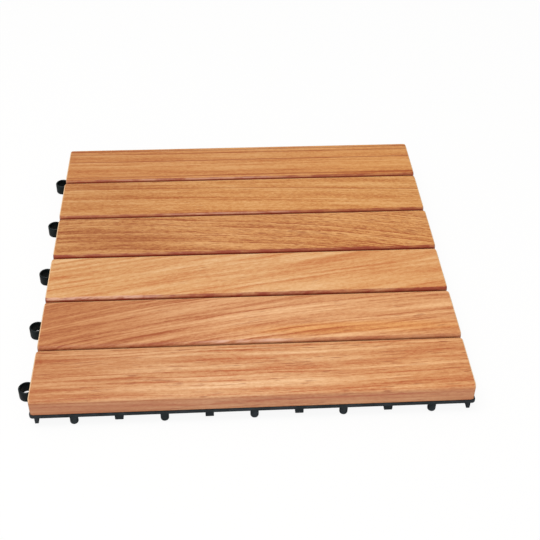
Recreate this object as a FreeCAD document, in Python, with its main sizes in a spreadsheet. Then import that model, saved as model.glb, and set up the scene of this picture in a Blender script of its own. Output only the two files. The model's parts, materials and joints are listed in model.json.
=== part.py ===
"""Interlocking deck tile: six hardwood slats screwed to a square moulded base.

Frame: millimetres, +Z up. The origin is the middle of the ground face, under the
centre of the tile. The slats run along X. Loops stand out of the -X and +Y sides
and take the pegs of the next tile, which line the -Y and +X sides.
"""
import FreeCAD, Part

import os
import re

import Sketcher
from FreeCAD import Placement, Rotation, Vector

SIZES = {
    # whole tile
    "tile_side": 300,
    "tile_height": 24,
    # what stays open between the flanges of two coupled tiles
    "tile_joint": 1.8,
    # slats
    "slat_count": 6,
    "slat_thickness": 13,
    "slat_gap": 1.5,
    "wood_inset": 0.8,
    "slat_edge_radius": 2.5,
    "slat_end_chamfer": 0.8,
    # flange plate and diagonal lattice of the base
    "plate_thickness": 2.5,
    "frame_width": 9.7,
    "corner_pad": 24,
    "lattice_inset": 7.9,
    "node_count": 7,
    "rib_width": 3,
    "rib_height": 5,
    # feet under the nodes of the lattice; what repeats most is many-sided, and measured over its corners
    "tube_sides": 8,
    "stud_sides": 8,
    "tube_outer": 9.6,
    "tube_bore": 7,
    "tube_floor": 2,
    "stud_diameter": 6.3,
    "stud_lift": 0.6,
    # loops, and the pegs that drop into the loops of the next tile
    "loop_count": 5,
    "loop_sides": 16,
    "loop_pitch": 60.6,
    "loop_reach": 5.5,
    "loop_bore": 8.8,
    "loop_outer": 11.4,
    "loop_flare": 0.1,
    "loop_lift": 0.2,
    "loop_drop": 0.1,
    "neck_width": 8,
    "neck_height": 4,
    "peg_diameter": 5.7,
    "peg_lift": 0.4,
    "peg_end_sides": 12,
    "peg_end_diameter": 4.6,
    "peg_end_height": 0.8,
    # short tabs between the pegs, short ribs between the loops
    "tab_width": 5.7,
    "tab_depth": 4.6,
    "tab_height": 5.4,
    "buttress_width": 3.3,
    "buttress_length": 7,
    "buttress_height": 6,
    # raised rim of the loop sides, short of the peg sides, and a thin fin at each corner
    "rim_width": 3.7,
    "rim_height": 3.5,
    "rim_stop": 7,
    "fin_thickness": 2.5,
    "fin_length": 6,
    "fin_height": 4.8,
    "fin_inset": 4.6,
    # screws from below, two to a slat
    "head_sides": 8,
    "shank_sides": 8,
    "head_diameter": 6.2,
    "head_height": 2,
    "head_taper": 0.5,
    "shank_diameter": 3.5,
    "tip_diameter": 0.8,
    "tip_length": 3,
    "screw_bite": 9,
    "hole_clearance": 0.2,
    "pilot_clearance": 0.05,
    "pilot_spare_depth": 0.5,
}

# sizes that follow from the ones above
FORMULAS = {
    "half_side": "=tile_side / 2",
    "wood_bottom": "=tile_height - slat_thickness",
    "plate_bottom": "=wood_bottom - plate_thickness",
    "rib_bottom": "=wood_bottom - rib_height",
    "node_pitch": "=(tile_side - 2 * lattice_inset) / node_count",
    "outer_node": "=node_pitch * (node_count - 1) / 2",
    "opening_side": "=node_pitch / sqrt(2) - rib_width",
    "window_side": "=tile_side - 2 * frame_width",
    "slat_length": "=tile_side - 2 * wood_inset",
    "slat_width": "=(slat_length - (slat_count - 1) * slat_gap) / slat_count",
    "slat_pitch": "=slat_width + slat_gap",
    "loop_row": "=half_side + loop_reach",
    "loop_top": "=plate_bottom - loop_drop",
    "loop_wall": "=(loop_outer + loop_bore) / 4",
    "neck_reach": "=loop_reach - loop_wall",
    "peg_row": "=half_side + tile_joint - loop_reach",
    "screw_seat": "=wood_bottom - tube_floor",
}

CELLS = {name: f"Sizes.{name}" for name in {**SIZES, **FORMULAS}}

# how near an edge lies to a level to count as on it
NEAR = 0.01

doc = FreeCAD.newDocument("deck_tile")
sheet = doc.addObject("Spreadsheet::Sheet", "Sizes")
for row, (name, content) in enumerate({**SIZES, **FORMULAS}.items(), start=1):
    sheet.set(f"A{row}", name)
    sheet.set(f"B{row}", str(content))
    sheet.setAlias(f"B{row}", name)
doc.recompute()


def tie(thing, path, text):
    """Ties a property to a formula, in which each size named is a cell of the sheet."""
    formula = re.sub("[a-z_]+", lambda word: CELLS.get(word.group(), word.group()), str(text))
    thing.setExpression(path, formula)


# Solids placed by formulas

def place(thing, x, y, z):
    for axis, text in zip("xyz", (x, y, z)):
        tie(thing, f"Placement.Base.{axis}", text)
    return thing


def box(name, x, y, z, width, depth, height):
    """A box centred on x and y, standing on z."""
    thing = doc.addObject("Part::Box", name)
    tie(thing, "Length", width)
    tie(thing, "Width", depth)
    tie(thing, "Height", height)
    return place(thing, f"{x} - ({width}) / 2", f"{y} - ({depth}) / 2", z)


def cylinder(name, x, y, z, diameter, height):
    """An upright cylinder standing on z."""
    thing = doc.addObject("Part::Cylinder", name)
    tie(thing, "Radius", f"({diameter}) / 2")
    tie(thing, "Height", height)
    return place(thing, x, y, z)


def prism(name, x, y, z, sides, diameter, height):
    """An upright prism standing on z, with its corners on a circle."""
    thing = doc.addObject("Part::Prism", name)
    tie(thing, "Polygon", sides)
    tie(thing, "Circumradius", f"({diameter}) / 2")
    tie(thing, "Height", height)
    return place(thing, x, y, z)


def tapered_prism(name, x, y, z, sides, lower_diameter, upper_diameter, height):
    """A prism whose two ends differ in size."""
    ends = []
    for end, level, diameter in (("lower", z, lower_diameter), ("upper", f"{z} + {height}", upper_diameter)):
        polygon = doc.addObject("Part::RegularPolygon", f"{name}_{end}")
        tie(polygon, "Polygon", sides)
        tie(polygon, "Circumradius", f"({diameter}) / 2")
        ends.append(place(polygon, x, y, level))
    thing = doc.addObject("Part::Loft", name)
    thing.Sections = ends
    thing.Solid = True
    thing.Ruled = True
    return thing


def diamond(name, x, y):
    """A square opening standing on its corner, as deep as the ribs."""
    thing = doc.addObject("Part::Box", name)
    thing.Placement = Placement(Vector(0, 0, 0), Rotation(Vector(0, 0, 1), 45))
    tie(thing, "Length", "opening_side")
    tie(thing, "Width", "opening_side")
    tie(thing, "Height", "rib_height")
    return place(thing, x, f"{y} - opening_side / sqrt(2)", "rib_bottom")


def gather(kind, name, shapes):
    """A fusion or a compound of several shapes."""
    thing = doc.addObject(kind, name)
    if kind == "Part::Compound":
        thing.Links = shapes
    else:
        thing.Shapes = shapes
    return thing


def cut(name, base, tool):
    thing = doc.addObject("Part::Cut", name)
    thing.Base = base
    thing.Tool = tool
    return thing


# Places on the lattice and along the sides

def steps(count):
    """Whole or half numbers of steps, either side of the middle."""
    return [index - (count - 1) / 2 for index in range(count)]


def loop_sides(along, out):
    """The same place on the two loop sides, -X and +Y."""
    return (f"-({out})", along), (along, out)


def peg_sides(along, out):
    """The same place on the two peg sides, +X and -Y."""
    return (out, along), (along, f"-({out})")


def side_boxes(name, places, z, along_size, out_size, height):
    """A box at the same place on a side across X and on a side across Y."""
    (x1, y1), (x2, y2) = places
    return [
        box(f"{name}_across_x", x1, y1, z, out_size, along_size, height),
        box(f"{name}_across_y", x2, y2, z, along_size, out_size, height),
    ]


def make_lattice():
    """The flange plate and the rib block, with the diamond openings cut inside the frame."""
    plate = box("plate", "0", "0", "plate_bottom", "tile_side", "tile_side", "plate_thickness")
    block_side = "2 * outer_node + rib_width"
    block = box("rib_block", "0", "0", "rib_bottom", block_side, block_side, "rib_height")
    openings = []
    for column, x_step in enumerate(steps(2 * NODES + 1)):
        for row, y_step in enumerate(steps(2 * NODES + 1)):
            at_corner = abs(x_step) == abs(y_step) == NODES
            if (column + row) % 2 and not at_corner:
                name = f"opening_{column}_{row}"
                openings.append(diamond(name, f"node_pitch * {x_step / 2}", f"node_pitch * {y_step / 2}"))
    window = box("window", "0", "0", "rib_bottom", "window_side", "window_side", "rib_height")
    clipped = doc.addObject("Part::Common", "clipped_openings")
    clipped.Base = gather("Part::Compound", "openings", openings)
    clipped.Tool = window
    return cut("lattice", gather("Part::MultiFuse", "ribbed_plate", [plate, block]), clipped)


def make_edges():
    """Corner pads, the rim and short ribs of the loop sides, and the corner fins."""
    pieces = []
    pad_middle = "(half_side - corner_pad / 2)"
    fin_x = "(half_side - fin_inset)"
    fin_y = "(half_side - fin_length / 2)"
    fin_bottom = "plate_bottom - fin_height"
    for column, x_side in enumerate((-1, 1)):
        for row, y_side in enumerate((-1, 1)):
            name = f"{column}_{row}"
            pieces.append(box(
                f"corner_pad_{name}", f"{x_side} * {pad_middle}", f"{y_side} * {pad_middle}", "plate_bottom",
                "corner_pad", "corner_pad", "plate_thickness",
            ))
            pieces.append(box(
                f"fin_{name}", f"{x_side} * {fin_x}", f"{y_side} * {fin_y}", fin_bottom,
                "fin_thickness", "fin_length", "fin_height",
            ))
    rim_middle = "half_side - rim_width / 2"
    pieces += side_boxes(
        "rim", ((f"-({rim_middle})", "rim_stop / 2"), ("-rim_stop / 2", rim_middle)),
        "plate_bottom - rim_height", "tile_side - rim_stop", "rim_width", "rim_height",
    )
    for index, step in enumerate(steps(LOOPS - 1)):
        pieces += side_boxes(
            f"buttress_{index}", loop_sides(f"loop_pitch * {step}", "half_side - buttress_length / 2"),
            "plate_bottom - buttress_height", "buttress_width", "buttress_length", "buttress_height",
        )
    return pieces


def make_feet():
    """Hollow tubes and solid studs under the nodes: the feet, and the bores of the tubes."""
    feet = [prism("middle_foot", "0", "0", "0", "tube_sides", "tube_outer", "wood_bottom")]
    bores = []
    half = NODES - 1
    for column in range(-half, half + 1):
        for row in range(-half, half + 1):
            if (column + row) % 2 or column == row == 0:
                continue
            on_main_node = column % 2 == 0
            by_the_middle = sorted((abs(column), abs(row)))
            at_side_middle = by_the_middle == [0, half]
            beside_side_middle = by_the_middle == [1, half - 1]
            x, y = f"node_pitch * {column / 2}", f"node_pitch * {row / 2}"
            name = f"{column + half}_{row + half}"
            if (on_main_node and not at_side_middle) or beside_side_middle:
                feet.append(prism(f"tube_{name}", x, y, "0", "tube_sides", "tube_outer", "wood_bottom"))
                bores.append(prism(f"bore_{name}", x, y, "0", "tube_sides", "tube_bore", "screw_seat"))
            else:
                height = "wood_bottom - stud_lift"
                feet.append(prism(f"stud_{name}", x, y, "stud_lift", "stud_sides", "stud_diameter", height))
    return feet, bores


def make_couplings():
    """Loops on their necks, pegs and the tabs between them: the pieces, and the bores of the loops."""
    pieces = []
    bores = []
    for index, step in enumerate(steps(LOOPS)):
        along = f"loop_pitch * {step}"
        pieces += side_boxes(
            f"neck_{index}", loop_sides(along, "half_side + (neck_reach - rim_width) / 2"),
            "loop_top - neck_height", "neck_width", "neck_reach + rim_width", "neck_height",
        )
        for side, (x, y) in enumerate(loop_sides(along, "loop_row")):
            pieces.append(tapered_prism(
                f"loop_{side}_{index}", x, y, "loop_lift", "loop_sides",
                "loop_outer + 2 * loop_flare", "loop_outer", "(loop_top - loop_lift)",
            ))
            bores.append(cylinder(
                f"loop_bore_{side}_{index}", x, y, "loop_lift", "loop_bore", "loop_top - loop_lift",
            ))
        for side, (x, y) in enumerate(peg_sides(along, "peg_row")):
            name = f"{side}_{index}"
            pieces.append(tapered_prism(
                f"peg_end_{name}", x, y, "peg_lift", "peg_end_sides",
                "peg_end_diameter", "peg_diameter", "peg_end_height",
            ))
            pieces.append(cylinder(
                f"peg_{name}", x, y, "peg_lift + peg_end_height", "peg_diameter",
                "plate_bottom - peg_lift - peg_end_height",
            ))
    for index, step in enumerate(steps(LOOPS - 1)):
        pieces += side_boxes(
            f"tab_{index}", peg_sides(f"loop_pitch * {step}", "peg_row"),
            "plate_bottom - tab_height", "tab_width", "tab_depth", "tab_height",
        )
    return pieces, bores


def screw_places():
    """Two screws on the node row that holds each slat: formulas of x and y, slat by slat."""
    half = SLATS // 2
    for row in [*range(half, 0, -1), *range(-1, -half - 1, -1)]:
        yield [(f"{side} * outer_node", f"node_pitch * {row}") for side in (-1, 1)]


def make_base():
    """The whole moulding."""
    feet, tube_bores = make_feet()
    couplings, loop_bores = make_couplings()
    holes = []
    for number, places in enumerate(screw_places(), start=1):
        for side, (x, y) in enumerate(places):
            holes.append(prism(
                f"screw_hole_{number}_{side}", x, y, "screw_seat", "shank_sides",
                "shank_diameter + 2 * hole_clearance", "tube_floor",
            ))
    solid = gather("Part::MultiFuse", "solid_moulding", [make_lattice(), *make_edges(), *feet, *couplings])
    solid.Refine = True
    base = cut("base_grid", solid, gather("Part::Compound", "bores", [*tube_bores, *loop_bores, *holes]))
    return base


# Slats

def new_sketch(body, name, **shift):
    """A sketch on the body's ground plane, moved by formulas."""
    sketch = body.newObject("Sketcher::SketchObject", name)
    plane = [datum for datum in body.Origin.OriginFeatures if datum.Role == "XY_Plane"][0]
    sketch.AttachmentSupport = [(plane, "")]
    sketch.MapMode = "FlatFace"
    for axis, text in shift.items():
        tie(sketch, f"AttachmentOffset.Base.{axis}", text)
    return sketch


def bind(sketch, constraint, name, text):
    """Adds a dimension to the sketch and ties it to a formula."""
    sketch.renameConstraint(sketch.addConstraint(constraint), name)
    tie(sketch, f"Constraints.{name}", text)


def draw_rectangle(sketch, width, depth):
    """A rectangle about the sketch's origin."""
    corners = [Vector(-9, -9, 0), Vector(9, -9, 0), Vector(9, 9, 0), Vector(-9, 9, 0)]
    lines = []
    for start, end in zip(corners, corners[1:] + corners[:1]):
        lines.append(sketch.addGeometry(Part.LineSegment(start, end), False))
    for line, following in zip(lines, lines[1:] + lines[:1]):
        sketch.addConstraint(Sketcher.Constraint("Coincident", line, 2, following, 1))
    for line, direction in zip(lines, ("Horizontal", "Vertical", "Horizontal", "Vertical")):
        sketch.addConstraint(Sketcher.Constraint(direction, line))
    sketch.addConstraint(Sketcher.Constraint("Symmetric", lines[0], 1, lines[2], 1, -1, 1))
    bind(sketch, Sketcher.Constraint("DistanceX", lines[0], 1, lines[0], 2, 18), "width", width)
    bind(sketch, Sketcher.Constraint("DistanceY", lines[1], 1, lines[1], 2, 18), "depth", depth)


def edges_where(feature, test):
    """Names of the feature's edges whose bounding box passes the test."""
    doc.recompute()
    return [f"Edge{index}" for index, edge in enumerate(feature.Shape.Edges, start=1) if test(edge.BoundBox)]


def make_slat(number, places):
    """One slat with eased edges, and blind pilot holes over the places of its screws."""
    name = f"slat_{number}"
    body = doc.addObject("PartDesign::Body", name)
    middle = f"slat_pitch * ((slat_count + 1) / 2 - {number})"
    outline = new_sketch(body, f"{name}_outline", y=middle, z="wood_bottom")
    draw_rectangle(outline, "slat_length", "slat_width")
    board = body.newObject("PartDesign::Pad", f"{name}_board")
    board.Profile = outline
    tie(board, "Length", "slat_thickness")

    arris = body.newObject("PartDesign::Chamfer", f"{name}_arris")
    bottom = sheet.wood_bottom + NEAR
    arris.Base = (board, edges_where(board, lambda edge: edge.ZMax > bottom and edge.XLength < NEAR))
    tie(arris, "Size", "slat_end_chamfer")

    easing = body.newObject("PartDesign::Fillet", f"{name}_easing")
    top = sheet.tile_height - NEAR
    easing.Base = (arris, edges_where(arris, lambda edge: edge.ZMin > top and edge.XLength > edge.YLength))
    tie(easing, "Radius", "slat_edge_radius")

    for side, (x, y) in enumerate(places):
        pilot = doc.addObject("PartDesign::SubtractivePrism", f"{name}_pilot_{side}")
        body.addObject(pilot)
        tie(pilot, "Polygon", "shank_sides")
        tie(pilot, "Circumradius", "shank_diameter / 2 + pilot_clearance")
        tie(pilot, "Height", "screw_bite + pilot_spare_depth")
        pilot.MapMode = "Deactivated"
        place(pilot, x, y, "wood_bottom")
    return body


def make_screws():
    """Pan-headed screws, up through the floors of the tubes into the slats."""
    screws = []
    for number, places in enumerate(screw_places(), start=1):
        for side, (x, y) in enumerate(places):
            name = f"screw_{number}_{side}"
            head = tapered_prism(
                f"{name}_head", x, y, "screw_seat - head_height", "head_sides",
                "head_diameter - 2 * head_taper", "head_diameter", "head_height",
            )
            shank = prism(
                f"{name}_shank", x, y, "screw_seat", "shank_sides", "shank_diameter",
                "tube_floor + screw_bite - tip_length",
            )
            tip = tapered_prism(
                f"{name}_tip", x, y, "wood_bottom + screw_bite - tip_length", "shank_sides",
                "shank_diameter", "tip_diameter", "tip_length",
            )
            screws.append(gather("Part::MultiFuse", name, [head, shank, tip]))
    return gather("Part::Compound", "slat_screws", screws)


NODES = SIZES["node_count"]
LOOPS = SIZES["loop_count"]
SLATS = SIZES["slat_count"]

nodes = [make_base()]
for number, places in enumerate(screw_places(), start=1):
    nodes.append(make_slat(number, places))
nodes.append(make_screws())
doc.recompute()

for thing in doc.Objects:
    if "Invalid" in thing.State or "Error" in thing.State:
        raise RuntimeError(f"{thing.Label} could not be built: {thing.State}")
for node in nodes:
    if node.Shape.isNull() or not node.Shape.isValid():
        raise RuntimeError(f"{node.Label} has no valid shape")

os.makedirs("parts", exist_ok=True)
for node in nodes:
    node.Shape.exportStep(f"parts/{node.Label}.step")
    print(node.Label, len(node.Shape.Solids), "solids", round(node.Shape.Volume), "mm3")
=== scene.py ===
# %% [markdown]
# # An interlocking deck tile
#
# Six hardwood slats lie side by side on a black moulded base. Each slat is held from below by two screws,
# which stand in hollow feet of the base. Round loops along two sides and round pegs along the other two
# let one tile hook into the next.
#
# The drawing of the tile is loaded as a fixed frame. Each piece made here takes the place of a part of that
# frame, so it is made in metres, at the place where the frame has it. Sizes are written in millimetres,
# because that is how a maker speaks of them, and `MM` turns them into metres.

# %% Load the frame
import json
import math

import bmesh
import bpy
from mathutils import Matrix

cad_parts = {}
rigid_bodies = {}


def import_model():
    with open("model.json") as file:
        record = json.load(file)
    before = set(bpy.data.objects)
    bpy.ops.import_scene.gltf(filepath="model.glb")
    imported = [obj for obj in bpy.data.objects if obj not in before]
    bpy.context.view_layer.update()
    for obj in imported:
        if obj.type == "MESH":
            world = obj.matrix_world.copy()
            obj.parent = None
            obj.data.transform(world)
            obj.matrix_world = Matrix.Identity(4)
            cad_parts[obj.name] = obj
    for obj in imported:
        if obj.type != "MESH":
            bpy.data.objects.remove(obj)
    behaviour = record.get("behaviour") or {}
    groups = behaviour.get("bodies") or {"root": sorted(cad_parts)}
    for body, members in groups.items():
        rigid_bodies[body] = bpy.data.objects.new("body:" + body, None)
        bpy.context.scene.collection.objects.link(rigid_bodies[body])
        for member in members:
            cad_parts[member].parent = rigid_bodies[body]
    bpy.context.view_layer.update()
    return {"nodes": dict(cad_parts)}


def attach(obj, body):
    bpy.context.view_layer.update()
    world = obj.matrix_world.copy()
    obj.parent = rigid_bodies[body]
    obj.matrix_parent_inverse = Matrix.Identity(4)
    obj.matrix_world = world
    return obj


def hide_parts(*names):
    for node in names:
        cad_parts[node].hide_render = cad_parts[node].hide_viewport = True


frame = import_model()
MM = 0.001
TILE, WOOD_TOP, WOOD_THICKNESS, PLATE_THICKNESS = 300.0, 24.0, 13.0, 2.5
WOOD_BOTTOM = WOOD_TOP - WOOD_THICKNESS
PLATE_BOTTOM = WOOD_BOTTOM - PLATE_THICKNESS
print("parts of the frame:", ", ".join(sorted(frame["nodes"])))

# %% [markdown]
# ## The camera
#
# The camera was worked out from the corners of the tile in the photograph: they give the place, the
# direction and the lens together. A longer lens further back would flatten the tile, and a shorter one
# would make the near edge too wide, so the lens is kept as it was worked out.

# %% Set up the camera
camera = bpy.data.objects.new("camera", bpy.data.cameras.new("camera"))
bpy.context.scene.collection.objects.link(camera)
camera.location = (-0.0212034, -0.59225021, 0.50733807)
camera.rotation_euler = [math.radians(turn) for turn in (49.75533, -0.66069, -3.31949)]
camera.data.sensor_width = 36
camera.data.lens = 65.5643
bpy.context.scene.camera = camera
print("camera lens", camera.data.lens, "mm")

# %% [markdown]
# ## A helper for nodes
#
# Both shapes and finishes are made with nodes below. A node needs three things each time: its kind, its
# settings, and what goes into its sockets. One helper does all three, so that a tree reads like a recipe.
# The commonest steps of arithmetic get short names of their own.

# %% Add a node
def put(tree, kind, inputs=None, **settings):
    """Adds a node, sets its settings, and links or fills each socket named in inputs."""
    node = tree.nodes.new(kind)
    for setting, value in settings.items():
        setattr(node, setting, value)
    for key, value in (inputs or {}).items():
        for one in value if isinstance(value, list) else [value]:
            if isinstance(one, bpy.types.NodeSocket):
                tree.links.new(one, node.inputs[key])
            else:
                node.inputs[key].default_value = one
    return node


def reckon(tree, operation, first, second=0.0):
    """One step of arithmetic on two numbers or sockets."""
    return put(tree, "ShaderNodeMath", {0: first, 1: second}, operation=operation).outputs[0]


def plus(tree, first, second):
    """The two added up."""
    return reckon(tree, "ADD", first, second)


def minus(tree, first, second):
    """The second taken from the first."""
    return reckon(tree, "SUBTRACT", first, second)


def times(tree, first, second):
    """The two multiplied."""
    return reckon(tree, "MULTIPLY", first, second)


def unsigned(tree, number):
    """The number without its sign."""
    return reckon(tree, "ABSOLUTE", number)


def vector(tree, x=0.0, y=0.0, z=0.0):
    """Three numbers or sockets as one vector."""
    return put(tree, "ShaderNodeCombineXYZ", {"X": x, "Y": y, "Z": z}).outputs[0]


def parts_of(tree, place):
    """The three numbers that a vector is made of."""
    return put(tree, "ShaderNodeSeparateXYZ", {0: place}).outputs


def reckon_places(tree, operation, *places):
    """One step of arithmetic on vectors."""
    return put(tree, "ShaderNodeVectorMath", dict(enumerate(places)), operation=operation)


# %% [markdown]
# ## The oiled hardwood
#
# The slats are an oiled red-brown hardwood. Sawn wood shows the rings of the tree cut lengthwise, so the
# finish is worked out as in a real log: the distance from the heart of the tree is cut into rings, each a
# little lighter or darker, and each ending in a thin dark line. Where the log lay askew in the saw, the
# lines rise or fall along the slat. Over the rings lie soft bands, fine fibres, and short dark pores.
#
# A photograph of wood could be laid on instead, but this pattern fills the whole log, so the faces, the
# edges and the end grain of a slat agree with one another.

# %% Noise, tones and blends
def round_noise(tree, place, scale, detail, rough=0.5):
    """Noise in round spots, from 0 to 1; a larger scale gives smaller spots."""
    inputs = {"Vector": place, "Scale": scale, "Detail": detail, "Roughness": rough}
    return put(tree, "ShaderNodeTexNoise", inputs).outputs["Fac"]


def stretched_noise(tree, place, along, across, detail=2.0, rough=0.5):
    """Noise drawn out along the grain, from 0 to 1; along and across are the sizes of its spots in mm."""
    scaled = put(tree, "ShaderNodeMapping", {"Vector": place, "Scale": (1 / along, 1 / across, 1 / across)})
    return round_noise(tree, scaled.outputs[0], 1.0, detail, rough)


def graded(tree, value, low, high, start=0.0, end=1.0, kind="SMOOTHSTEP"):
    """The value between low and high, turned into start to end, with soft ends."""
    inputs = {"Value": value, 1: low, 2: high, 3: start, 4: end}
    return put(tree, "ShaderNodeMapRange", inputs, interpolation_type=kind).outputs[0]


def colour(red, green, blue):
    """A colour as a screen shows it, 0 to 255, turned into the light that it stands for."""
    def light(shade):
        return ((shade / 255 + 0.055) / 1.055) ** 2.4 if shade > 10 else shade / 3295

    return light(red), light(green), light(blue), 1.0


def blend_in(tree, share, first, second, way="MIX"):
    """The second colour laid over the first, as strongly as share says."""
    inputs = {0: share, 6: first, 7: second}
    return put(tree, "ShaderNodeMix", inputs, data_type="RGBA", blend_type=way).outputs[2]


# %% [markdown]
# In a tree the grain rises, bends and ripples. Noise that is only drawn out along the slat would give
# straight lines, and patterns that are bent one by one would part. So each place on the slat is first
# turned into a place in the log, counted along and across the grain. Rings, bands, fibres and pores all
# start from that place, and so they bend together.

# %% Follow the grain
def grain_place(tree, in_slat, look):
    """A place counted along and across the grain, which may rise along the slat and bend on its way."""
    sides = parts_of(tree, in_slat)
    left, right = (math.tan(math.radians(turn)) for turn in look["rise"])
    steepness = times(tree, sides["X"], (right - left) / (2 * TILE))
    lean = times(tree, sides["X"], plus(tree, steepness, (left + right) / 2))
    own_board = look["seed"] * 1000.0
    board = reckon_places(tree, "ADD", in_slat, (own_board, 0, 0)).outputs[0]
    across = minus(tree, sides["Y"], lean)
    for length, width, sway in (look["wave"], look["ripple"]):
        noise = minus(tree, stretched_noise(tree, board, length, width), 0.5)
        across = plus(tree, across, times(tree, noise, sway))
    along = plus(tree, sides["X"], own_board)
    return across, vector(tree, along, across, sides["Z"])


# %% [markdown]
# A ring is one year of the tree, and its end is dark. The distance from the heart, counted in rings, has
# a whole part and a rest. The whole part is the number of the ring, and chance draws a tone for it. The
# rest says how far into the ring a place lies, and that gives the dark line. A Wave Texture draws rings
# too, but they are all alike.

# %% Cut the rings
def rings_of(tree, across, up, log, look):
    """The tone of each ring, and the thin dark line at its end, from the distance to the heart."""
    heart_across, heart_up = look["heart"]
    off = vector(tree, 0.0, minus(tree, across, heart_across), minus(tree, up, heart_up))
    from_heart = reckon_places(tree, "LENGTH", off).outputs["Value"]
    uneven = stretched_noise(tree, log, 160, look["ring"] * 2.2)
    ring = plus(tree, reckon(tree, "DIVIDE", from_heart, look["ring"]), times(tree, uneven, 2.2))
    in_ring = reckon(tree, "FRACT", ring)
    ring_tone = put(
        tree, "ShaderNodeTexWhiteNoise", {"W": reckon(tree, "FLOOR", ring)}, noise_dimensions="1D",
    ).outputs["Value"]
    line = times(tree, graded(tree, in_ring, 0.45, 0.92), graded(tree, in_ring, 1.0, 0.93))
    return ring_tone, times(tree, line, graded(tree, ring_tone, 0.25, 0.8))


# %% [markdown]
# Each pattern only says how light or dark a place is. They are added up to one tone, each as strongly as
# the look says, and a colour ramp turns that tone into wood: dark, base or light. With one ramp for all
# of them, no fleck gets a colour that the board doesn't have.

# %% Colour the grain
def grain_tones(tree, bands, fibres, ring_tone, line, log, look):
    """One tone from bands, fibres, flecks and rings, turned into a colour from dark to light."""
    flecks = stretched_noise(tree, log, 3.0, 1.0, 2.0, 0.7)
    tone = minus(tree, 0.55, times(tree, line, look["lines"]))
    for pattern, strength in (
        (bands, look["contrast"]), (fibres, look["fibres"]),
        (flecks, look["flecks"]), (ring_tone, look["ring_tones"]),
    ):
        tone = plus(tree, tone, times(tree, minus(tree, pattern, 0.5), strength))
    ramp = put(tree, "ShaderNodeValToRGB", {0: tone})
    stops = ramp.color_ramp.elements
    stops[0].position, stops[0].color = 0.05, colour(*look["dark"])
    stops[1].position, stops[1].color = 0.95, colour(*look["light"])
    middle = stops.new(0.5)
    middle.color = colour(*look["base"])
    return ramp.outputs["Color"]


# %% [markdown]
# No board has one tone from end to end. A tint multiplies what lies under it, as oil does, so the grain
# shows through. Single dark lines are laid at chosen places across the grain: the eye knows a board by
# them, and chance would put them elsewhere.

# %% Lay tints and dark lines over the grain
def tinted(tree, wood, share, tint):
    """The wood multiplied by a tint, as strongly as share says."""
    return blend_in(tree, share, wood, blend_in(tree, 1.0, wood, tint, "MULTIPLY"))


def tints_and_lines(tree, wood, in_slat, sides, across, bands, look):
    """A tint towards each end, then single patches, then single dark lines along the grain."""
    to_left, to_right = graded(tree, sides["X"], 10, -130), graded(tree, sides["X"], -10, 130)
    wood = tinted(tree, wood, to_left, look["left_tint"])
    wood = tinted(tree, wood, to_right, look["right_tint"])
    for tint, where, size, strength in look["patches"]:
        off = reckon_places(tree, "SUBTRACT", in_slat, (*where, 0)).outputs[0]
        off = reckon_places(tree, "MULTIPLY", off, (1 / size[0], 1 / size[1], 0)).outputs[0]
        near = reckon_places(tree, "LENGTH", off).outputs["Value"]
        near = plus(tree, near, times(tree, minus(tree, bands, 0.5), 1.6))
        wood = tinted(tree, wood, times(tree, graded(tree, near, 1.15, 0.35), strength), tint)
    for line_place, width, strength in look["dark_lines"]:
        off = unsigned(tree, minus(tree, across, line_place))
        share = times(tree, graded(tree, off, width, width * 0.3), strength)
        share = times(tree, share, graded(tree, bands, 0.25, 0.6, 1.0, 0.75))
        wood = blend_in(tree, share, wood, colour(146, 58, 14))
    return wood


# %% [markdown]
# A slat shows more than its face. The end grain drinks more oil and is darker. The long sides get a duller,
# pinker tint, most of all towards the bottom. Where a long side faces a gap, shade is painted on it: its
# colour turns dark red, because little light gets into the gap. The finish tells these apart by the way
# that a surface looks, so one finish covers the whole slat, without a mask painted on an image.

# %% Colour the sides of a slat
def side_tones(tree, wood, facing, level, sides, look):
    """End grain, the tinted long sides, painted shade on the walls of the gaps, and the pale rim of each
    end.
    """
    end_grain = graded(tree, level["X"], 0.75, 0.95, 0.0, 0.6)
    wood = blend_in(tree, end_grain, wood, colour(150, 92, 60))
    # the long sides get a duller, pinker tint, strongest towards the bottom
    long_side = graded(tree, level["Y"], 0.45, 0.98, 0.0, 0.42)
    below_rounding = graded(tree, sides["Z"], 6.0, 1.5, 0.35, 1.0)
    wood = blend_in(tree, times(tree, long_side, below_rounding), wood, colour(194, 126, 100))
    # painted shade: a long side that faces a gap is darkened to a deep red
    for way, in_gap in ((1.0, look["gap_behind"]), (-1.0, look["gap_before"])):
        towards = times(tree, facing["Y"], way)
        wood = blend_in(tree, graded(tree, towards, 0.7, 0.97, 0.0, in_gap), wood, colour(112, 16, 0))
    end_rim = graded(tree, times(tree, level["Z"], level["X"]), 0.08, 0.4, 0.0, 0.8)
    return blend_in(tree, end_rim, wood, colour(240, 204, 162))


# %% [markdown]
# Along the back the rounded edge catches the light, and a paler colour is painted there as a highlight.
# Along the front the rounding is painted dark red. This is painted shade, where little light comes back out
# of the gap, and a noise makes it uneven. Over a stretch of some front edges a pale pink highlight is
# painted. The roundings are found by their slope, and the highlighted stretch also by its distance from the
# edge.

# %% Colour the rounded edges of a slat
SLATS, SLAT_LENGTH, SLAT_GAP = 6, 298.4, 1.5
SLAT_PITCH = (SLAT_LENGTH + SLAT_GAP) / SLATS
SLAT_WIDTH = SLAT_PITCH - SLAT_GAP
print(f"slats {SLAT_WIDTH:.2f} mm wide, one every {SLAT_PITCH:.2f} mm")


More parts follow.
